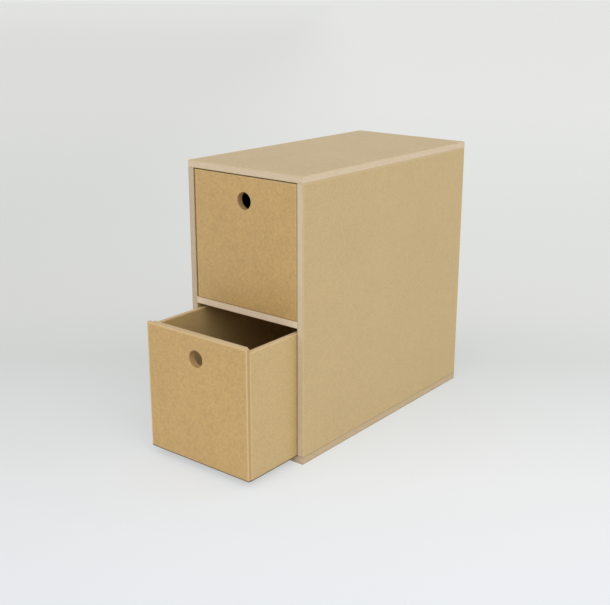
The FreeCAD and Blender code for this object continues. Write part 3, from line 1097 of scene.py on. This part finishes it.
# The fronts' skin is darker and warmer than the carcass's: partly its own tone, partly painted shade for the
# weaker, warmer light on the front faces.
FRONT_BOARD = Fibreboard(
    slot="drawer_board",
    skin=paint(202, 165, 101),
    skin_shade=paint(176, 143, 87),
    fleck=paint(120, 90, 54),
    rim=paint(220, 188, 140),
    cut=paint(216, 196, 159),
    cut_shade=paint(180, 150, 101),
    sanding_and_highlight=0.1,
    end_darkening=0.7,
    contrast=1.8,
)
BOX_BOARD = replace(
    FRONT_BOARD,
    skin=paint(203, 174, 117),
    skin_shade=paint(178, 151, 103),
    cut=paint(208, 184, 146),
    cut_shade=paint(188, 162, 120),
    sanding_and_highlight=0.4,
    end_darkening=0.0,
    contrast=1.4,
)
# The lower drawer has a painted highlight on its front's arrises and painted shade along the foot of its
# front, sides and back.
LOWER_FRONT_BOARD = replace(FRONT_BOARD, sanding_and_highlight=0.6, foot_darkening=0.9)
LOWER_BOX_BOARD = replace(BOX_BOARD, foot_darkening=0.9)
THIN_BOARD = Fibreboard(
    slot="thin_board",
    skin=paint(190, 158, 108),
    skin_shade=paint(164, 132, 84),
    fleck=paint(110, 82, 50),
    rim=paint(196, 170, 130),
    cut=paint(204, 180, 144),
    cut_shade=paint(176, 146, 106),
    skin_roughness=0.4,
)
DOWEL_WOOD = Beech(slot="dowel_wood", light=paint(222, 190, 150), dark=paint(186, 146, 104))
BRAD_STEEL = BrightSteel(slot="brad_steel", light=paint(205, 206, 208), dark=paint(150, 151, 154))


@dataclass
class Bench:
    """Builds pieces, dresses them and reports them.

    Attributes:
        count: How many pieces it has dressed, which is also the next piece's seed.
    """

    count: int = 0

    def dress(
        self, piece: bpy.types.Object, name: str, finish: Fibreboard | Grained, placing: Placing
    ) -> None:
        """Give a piece its finish.

        Args:
            piece: The piece.
            name: The name that its material takes.
            finish: The finish.
            placing: Where the finish lies.
        """
        self.count += 1
        coat = Coat(f"{finish.slot}_{name}")
        finish.fill(coat, placing)
        piece.data.materials.clear()
        piece.data.materials.append(coat.material)

    def make(self, board: Board, finish: Fibreboard) -> None:
        """Build a board and dress it.

        Args:
            board: The board.
            finish: Its finish.
        """
        piece = board.build()
        self.dress(piece, board.node, finish, board.placing(self.count))
        LOG.info("%s: %d faces", piece.name, len(piece.data.polygons))

    def keep(self, node: str, finish: Grained, along: Axis) -> None:
        """Dress a node of the frame that stays as it is.

        Args:
            node: The node.
            finish: Its finish.
            along: The axis that the node's solids lie along.
        """
        piece = frame["nodes"][node]
        self.dress(piece, node, finish, Placing(Block.of_node(node), along, self.count))
        LOG.info("%s: kept and dressed", node)


# The chest


THIN_ARRIS = 0.25 * MILLIMETRE  # on the 3 mm boards


@dataclass(frozen=True)
class Fastenings:
    """The gaps that the carcass's dowels and brads are let in with.

    Attributes:
        gap: The glue gap round a dowel or a brad.
        end_gap: The gap past the end of a dowel or a brad.
        brad_shank: The thickness of a brad under its head.
        brad_head: The thickness of a brad's head.
    """

    gap: float = 0.05 * MILLIMETRE
    end_gap: float = 0.5 * MILLIMETRE
    brad_shank: float = 1.0 * MILLIMETRE
    brad_head: float = 0.6 * MILLIMETRE


@dataclass
class Carcass:
    """The part of the chest that stays still.

    Attributes:
        bench: The bench that it is built on.
        fastenings: The gaps for its dowels and brads.
        back_gap: The play of the back in its rebates.
        levels: The boards that the dowels hold between the sides.
        brad_rows: The nodes of all the brads.
    """

    bench: Bench
    fastenings: Fastenings = Fastenings()
    back_gap: float = 0.25 * MILLIMETRE
    levels: tuple[str, ...] = ("top", "bottom", "shelf")
    brad_rows: tuple[str, ...] = ("back_left_brads", "back_right_brads", "back_shelf_brads")

    @property
    def dowel_rows(self) -> list[str]:
        """The nodes of all the dowels."""
        return [f"{level}_{side}_dowels" for level in self.levels for side in SIDE_BOARDS]

    def bored(self, board: Board) -> Board:
        """Bore a board for every dowel that enters it.

        Args:
            board: The board.

        Returns:
            The same board.
        """
        for row in self.dowel_rows:
            board.bore_for(row, self.fastenings.gap, self.fastenings.end_gap)
        return board

    def nailed(self, board: Board) -> Board:
        """Cut a board for every brad that enters it, with a seat for the head where it has one.

        Args:
            board: The board.

        Returns:
            The same board.
        """
        gap, end_gap = self.fastenings.gap, self.fastenings.end_gap
        for row in self.brad_rows:
            for brad in solids_of(row):
                middle, half = brad.centre.z, self.fastenings.brad_shank / 2
                shank = brad.spanning(Axis.Z, middle - half, middle + half)
                head = brad.spanning(Axis.Y, brad.high.y - self.fastenings.brad_head, brad.high.y)
                if board.block.meets(shank):
                    board.hollow_for(shank, Vector((gap, end_gap, gap)))
                if board.block.meets(head):
                    board.hollow_for(head, Vector((gap, 0.0, gap)))
        return board

    def build(self) -> None:
        """Model and dress the whole carcass."""
        back = Block.of_node("back_panel")
        self.bench.make(self.bored(Board("top_board", Axis.Z, (Face.BOTTOM,))), TOP_BOARD)
        self.bench.make(self.bored(Board("bottom_board", Axis.Z, (Face.TOP,))), BOTTOM_BOARD)
        for side in SIDE_BOARDS:
            board = Board(f"{side}_side", Axis.X, (Face.BOTTOM, Face.TOP))
            board.hollow_for(back, Vector((self.back_gap, 0.0, self.back_gap)))
            self.bench.make(self.nailed(self.bored(board)), SIDE_BOARDS[side])
        shelf = Board("shelf", Axis.Z, (Face.LEFT, Face.RIGHT))
        self.bench.make(self.nailed(self.bored(shelf)), SHELF_BOARD)
        self.bench.make(self.nailed(Board("back_panel", Axis.Y, arris=THIN_ARRIS)), THIN_BOARD)
        for row in self.dowel_rows:
            self.bench.keep(row, DOWEL_WOOD, next(solids_of(row)).long_axis)
        for row in self.brad_rows:
            self.bench.keep(row, BRAD_STEEL, Axis.Y)


@dataclass
class DrawerFront(Board):
    """A drawer's front, with its round finger hole.

    Attributes:
        arris: The radius of its arrises, which are rounder than a plain board's.
        hole_diameter: The finger hole's diameter.
        hole_drop: How far its centre lies below the top of the front.
        rim_round: The radius of its outer rim.
        rim_ease: The radius of its inner rim.
        hole_segments: How many sides the hole has.
        rim_segments: How many faces the rounding of a rim has.
    """

    arris: float = 0.8 * MILLIMETRE
    hole_diameter: float = 22 * MILLIMETRE
    hole_drop: float = 30.8 * MILLIMETRE
    rim_round: float = 0.6 * MILLIMETRE
    rim_ease: float = 0.4 * MILLIMETRE
    hole_segments: int = 96
    rim_segments: int = 6

    @cached_property
    def hole_centre(self) -> Vector:
        """The middle of the finger hole."""
        block = self.block
        return Vector((block.centre.x, block.centre.y, block.high.z - self.hole_drop))

    def placing(self, seed: int) -> Placing:
        """Where the front's finish lies, with its finger hole and a seed for its pattern."""
        radius = self.hole_diameter / 2
        return Placing(self.block, self.across, seed, bore_centre=self.hole_centre, bore_radius=radius)

    def cutters(self) -> Iterator[bmesh.types.BMesh]:
        """Make what the front is cut with.

        Yields:
            The cutters of a plain board, and the finger hole's.
        """
        yield from super().cutters()
        radius = self.hole_diameter / 2
        reach = Vector((radius, self.hole_diameter, radius))
        cutter = bmesh.new()
        add_rod(cutter, Block(self.hole_centre - reach, self.hole_centre + reach), self.hole_segments)
        yield cutter

    def finish_cuts(self, shape: bmesh.types.BMesh) -> None:
        """Round both rims of the finger hole."""
        for level, radius in ((self.block.low.y, self.rim_round), (self.block.high.y, self.rim_ease)):
            round_edges(shape, self.rim_edges(shape, level), radius, self.rim_segments)

    def rim_edges(self, shape: bmesh.types.BMesh, level: float) -> list[bmesh.types.BMEdge]:
        """The edges of the hole's rim in the face at a level along Y.

        Args:
            shape: The front's mesh.
            level: Where the face lies.

        Returns:
            The edges round the hole.
        """
        outside = self.hole_diameter / 2 + SAME_PLACE

        def on_rim(vertex: bmesh.types.BMVert) -> bool:
            """Whether a vertex lies on the hole's rim."""
            away = vertex.co - self.hole_centre
            return abs(vertex.co.y - level) < SAME_PLACE and math.hypot(away.x, away.z) < outside

        return [edge for edge in shape.edges if all(on_rim(vertex) for vertex in edge.verts)]


@dataclass
class Drawer:
    """One drawer.

    Attributes:
        bench: The bench that it is built on.
        prefix: What its nodes' names start with.
        front_finish: The finish of its front.
        box_finish: The finish of its sides and back.
        groove_play: The play of its bottom in the grooves.
    """

    bench: Bench
    prefix: str
    front_finish: Fibreboard
    box_finish: Fibreboard
    groove_play: Vector = field(default_factory=lambda: Vector((0.2, 0.2, 0.1)) * MILLIMETRE)

    def node(self, name: str) -> str:
        """The full name of one of its nodes."""
        return f"{self.prefix}_drawer_{name}"

    def box(self, name: str) -> Block:
        """The box of one of its nodes."""
        return Block.of_node(self.node(name))

    def build(self) -> None:
        """Model and dress the drawer."""
        bottom, back = self.box("bottom"), self.box("back")
        front = DrawerFront(self.node("front"), Axis.Y)
        front.hollow_for(bottom, self.groove_play)
        for side in ("left_side", "right_side"):
            rebate = front.block.room_for(self.box(side))
            low, high = front.block.low.z - OVERRUN, front.block.high.z + OVERRUN
            front.hollows.append(rebate.spanning(Axis.Z, low, high))
            board = Board(self.node(side), Axis.X, (Face.FRONT,))
            board.hollow_for(back)
            board.hollow_for(bottom, self.groove_play)
            self.bench.make(board, self.box_finish)
        self.bench.make(front, self.front_finish)
        back_board = Board(self.node("back"), Axis.Y, (Face.LEFT, Face.RIGHT))
        back_board.hollow_for(bottom, self.groove_play)
        self.bench.make(back_board, self.box_finish)
        self.bench.make(Board(self.node("bottom"), Axis.Z, arris=THIN_ARRIS), THIN_BOARD)


# The studio


def direction(azimuth: float, elevation: float) -> Vector:
    """The unit vector from the chest towards a place round it.

    Args:
        azimuth: The angle round the chest, in degrees: 0 in front, 90 on the right.
        elevation: The angle above the floor, in degrees.

    Returns:
        The unit vector.
    """
    round_it, up = math.radians(azimuth), math.radians(elevation)
    return Vector((math.sin(round_it) * math.cos(up), -math.cos(round_it) * math.cos(up), math.sin(up)))


@dataclass(frozen=True)
class Lamp:
    """A distant soft lamp.

    Attributes:
        name: Its name.
        azimuth: Where it stands round the chest, in degrees: 0 in front, 90 on the right.
        elevation: How high it stands, in degrees.
        strength: The irradiance that it gives a surface that faces it.
        width: How wide it looks from the chest, in degrees.
    """

    name: str
    azimuth: float
    elevation: float
    strength: float
    width: float

    def build(self) -> None:
        """Add the lamp."""
        light = bpy.data.lights.new(self.name, "SUN")
        light.energy = self.strength
        light.angle = math.radians(self.width)
        lamp = bpy.data.objects.new(self.name, light)
        lamp.rotation_euler = direction(self.azimuth, self.elevation).to_track_quat("Z", "Y").to_euler()
        bpy.context.scene.collection.objects.link(lamp)


@dataclass(frozen=True)
class Viewpoint:
    """The camera.

    Attributes:
        azimuth: Where it stands round the chest, in degrees.
        elevation: How high it stands, in degrees.
        roll: How far it leans, in degrees.
        distance: How far it is from the middle of the carcass.
        lens: Its focal length, in millimetres.
        sensor: The width of its frame, in millimetres.
        shift: How far the frame is shifted, across and upwards, in frame widths.
    """

    azimuth: float = 36.97
    elevation: float = 16.2
    roll: float = 0.55
    distance: float = 1.3835
    lens: float = 57.65
    sensor: float = 36.0
    shift: tuple[float, float] = (-0.0482, -0.0371)

    def build(self, target: Vector) -> None:
        """Add the camera and make it the scene's own.

        Args:
            target: What it points at.
        """
        data = bpy.data.cameras.new("camera")
        data.lens = self.lens
        data.sensor_width = self.sensor
        data.sensor_fit = "HORIZONTAL"
        data.shift_x, data.shift_y = self.shift
        camera = bpy.data.objects.new("camera", data)
        back = direction(self.azimuth, self.elevation)
        camera.location = target + back * self.distance
        lean = Matrix.Rotation(math.radians(self.roll), 3, "Z")
        camera.rotation_euler = (back.to_track_quat("Z", "Y").to_matrix() @ lean).to_euler()
        bpy.context.scene.collection.objects.link(camera)
        bpy.context.scene.camera = camera


def seen_directly(graph: Graph) -> bpy.types.NodeSocket:
    """Tell the rays that show a backdrop from those that light the chest.

    Args:
        graph: The graph of the backdrop.

    Returns:
        A mask of the rays from the camera, off a gloss or through something clear.
    """
    path = graph.add("ShaderNodeLightPath")
    seen = graph.math("MAXIMUM", path.outputs["Is Camera Ray"], path.outputs["Is Glossy Ray"])
    return graph.math("MAXIMUM", seen, path.outputs["Is Transmission Ray"])


@dataclass(frozen=True)
class Studio:
    """The pale floor and backdrop, the lamps and the camera.

    Attributes:
        viewpoint: The camera.
        floor_radius: How far the floor reaches.
        floor_segments: How many sides the floor has.
        tones: The floor's colour at some distances behind the chest, darker from just behind it to about a
            metre back, most at 0.17 m: painted shade.
        tone_middle: The distance past the first tone that lies in the middle of the colour ramp.
        side_span: Where the light from the right begins to tell across the floor, and where it is full.
        side_light: How much light the floor gets on the left and on the right.
        far_span: Where the left of the floor begins to get more light, and where it gets it all.
        far_gain: How much more light that is.
        paper_roughness: How rough the floor is.
        paper_gloss: The floor's specular level.
        own_light: How much of the floor's tone the camera sees whatever the shadow on it.
        sky: The colour of the backdrop above the floor.
        sky_light: How strongly the sky lights the chest.
        lamps: The lamps.
    """

    viewpoint: Viewpoint = Viewpoint()
    floor_radius: float = 60.0
    floor_segments: int = 96
    tones: tuple[tuple[float, Colour], ...] = (
        (-0.49, paint(239, 242, 245)),
        (-0.25, paint(237, 239, 240)),
        (0.0, paint(226, 229, 229)),
        (0.17, paint(219, 222, 220)),
        (0.43, paint(225, 226, 224)),
        (1.3, paint(225, 227, 224)),
        (3.8, paint(231, 232, 229)),
        (12.0, paint(230, 231, 228)),
    )
    tone_middle: float = 2.0
    side_span: Band = (-0.9, 0.4)
    side_light: tuple[float, float] = (0.92, 1.02)
    far_span: Band = (3.0, 30.0)
    far_gain: float = 0.06
    paper_roughness: float = 0.9
    paper_gloss: float = 0.1
    own_light: float = 0.58
    sky: Colour = paint(229, 230, 227)
    sky_light: float = 0.54
    lamps: tuple[Lamp, ...] = (
        Lamp("key", azimuth=70, elevation=38, strength=1.0, width=50),
        Lamp("front", azimuth=-5, elevation=28, strength=0.9, width=60),
        Lamp("back_right", azimuth=140, elevation=22, strength=0.5, width=50),
    )

    def build(self) -> None:
        """Add the whole studio."""
        shape = bmesh.new()
        bmesh.ops.create_circle(shape, cap_ends=True, segments=self.floor_segments, radius=self.floor_radius)
        floor = object_from("floor", shape)
        floor.data.materials.append(self.floor_material())
        self.build_sky()
        for lamp in self.lamps:
            lamp.build()
        carcass_height = Block.of_node("top_board").high.z
        self.viewpoint.build(Vector((0.0, 0.0, carcass_height / 2)))
        LOG.info("studio: floor, sky, %d lamps and camera", len(self.lamps))

    def floor_material(self) -> bpy.types.Material:
        """Make the floor's pale paper.

        Returns:
            The material. Where it is seen directly it glows a little, which softens the shadow on it.
        """
        coat = Coat("pale_paper")
        tone = self.floor_tone(coat)
        coat.set_up(coat.shader, Base_Color=tone, Roughness=self.paper_roughness)
        coat.set_up(coat.shader, Specular_IOR_Level=self.paper_gloss)
        glow = coat.add("ShaderNodeEmission", Color=tone)
        coat.show_mix(coat.math("MULTIPLY", seen_directly(coat), self.own_light), coat.shader, glow)
        return coat.material

    def floor_tone(self, coat: Coat) -> bpy.types.NodeSocket:
        """The floor's colour, with painted light and shade that change with the distance behind the chest and
        across it.

        Args:
            coat: The floor's material.

        Returns:
            The colour.
        """
        turn = Vector((0.0, 0.0, -math.radians(self.viewpoint.azimuth)))
        across, behind, _ = coat.split(coat.place(Vector(), turn))
        nearest, nearest_colour = self.tones[0]
        past = coat.math("SUBTRACT", behind, nearest)
        ramp = coat.add("ShaderNodeValToRGB")
        coat.feed(ramp.inputs[0], coat.math("DIVIDE", past, coat.math("ADD", past, self.tone_middle)))
        stops = ramp.color_ramp.elements
        stops.remove(stops[1])
        stops[0].color = nearest_colour
        for distance, colour in self.tones[1:]:
            past_nearest = distance - nearest
            stops.new(past_nearest / (past_nearest + self.tone_middle)).color = colour
        left, right = self.side_light
        left_light = coat.math("MULTIPLY_ADD", coat.step(behind, *self.far_span), self.far_gain, left)
        light = coat.step(across, *self.side_span, left_light, right)
        lit = coat.add("ShaderNodeVectorMath", operation="SCALE", Vector=ramp.outputs[0], Scale=light)
        return lit.outputs[0]

    def build_sky(self) -> None:
        """Add a world that lights the chest evenly and looks pale behind it."""
        world = bpy.data.worlds.new("sky")
        world.use_nodes = True
        bpy.context.scene.world = world
        graph = Graph(world.node_tree)
        lighting = graph.add("ShaderNodeBackground", Color=WHITE, Strength=self.sky_light)
        backdrop = graph.add("ShaderNodeBackground", Color=self.sky, Strength=1.0)
        graph.show_mix(seen_directly(graph), lighting, backdrop)


def main() -> None:
    """Build the chest and its studio."""
    logging.basicConfig(level=logging.INFO, format="%(name)s: %(message)s")
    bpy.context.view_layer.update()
    bpy.context.scene.view_settings.view_transform = "Standard"
    bench = Bench()
    Carcass(bench).build()
    Drawer(bench, "upper", FRONT_BOARD, BOX_BOARD).build()
    Drawer(bench, "lower", LOWER_FRONT_BOARD, LOWER_BOX_BOARD).build()
    Studio().build()


if __name__ == "__main__":
    main()
